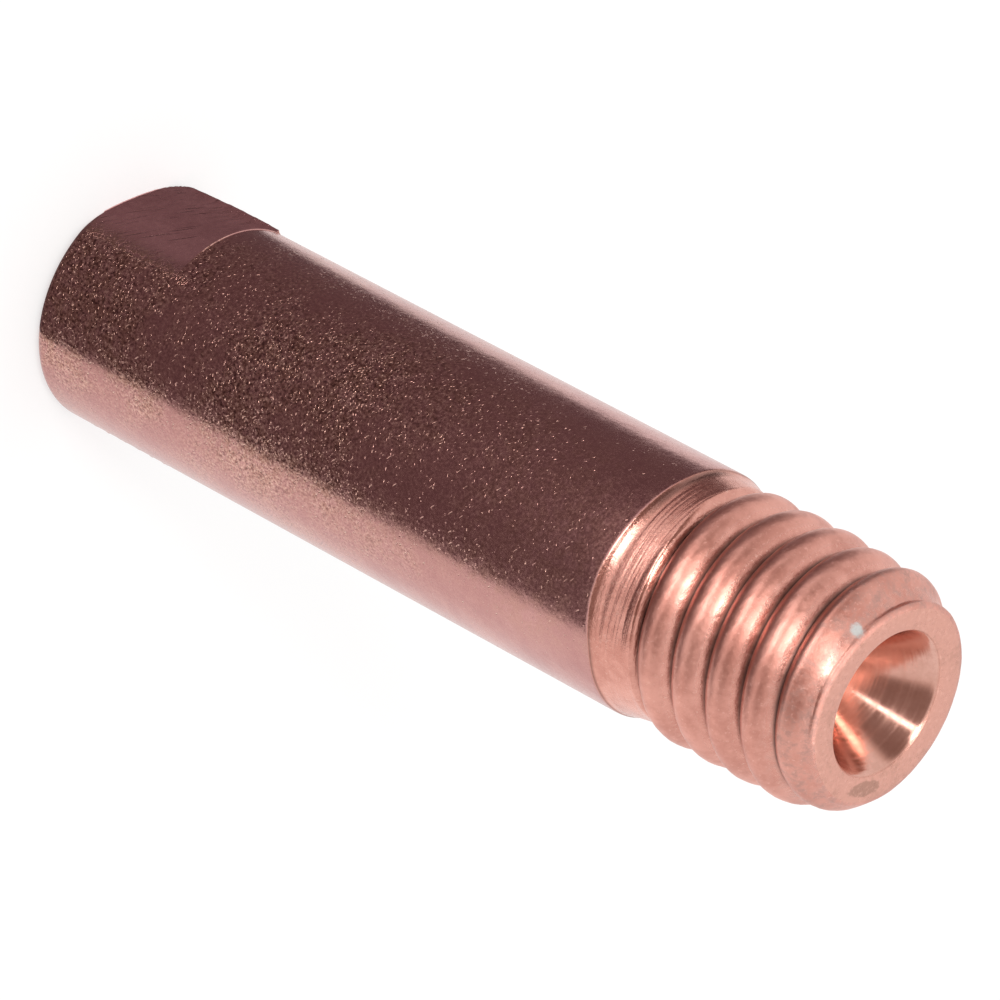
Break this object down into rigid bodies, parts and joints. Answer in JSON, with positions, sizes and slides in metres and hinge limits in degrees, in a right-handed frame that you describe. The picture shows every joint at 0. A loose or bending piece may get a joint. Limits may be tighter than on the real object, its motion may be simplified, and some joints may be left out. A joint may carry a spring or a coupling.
{
  "type": "welding contact tip",
  "caption": "Slim copper contact tip: a round body with spanner flats at the nose, a screw thread at the other end and a wire bore with a funnel mouth.",
  "frame": {"origin": "centre of the nose face, which the tip stands on", "axes": "+Z along the wire bore from the nose to the threaded end, +Y out of one of the two spanner flats, +X along the width of the flats"},
  "size_m": [0.006, 0.006, 0.024],
  "materials": {
    "copper": "bare copper, satin on the body and brighter on the thread"
  },
  "bodies": {
    "root": {"contact_tip": "copper"}
  },
  "joints": []
}
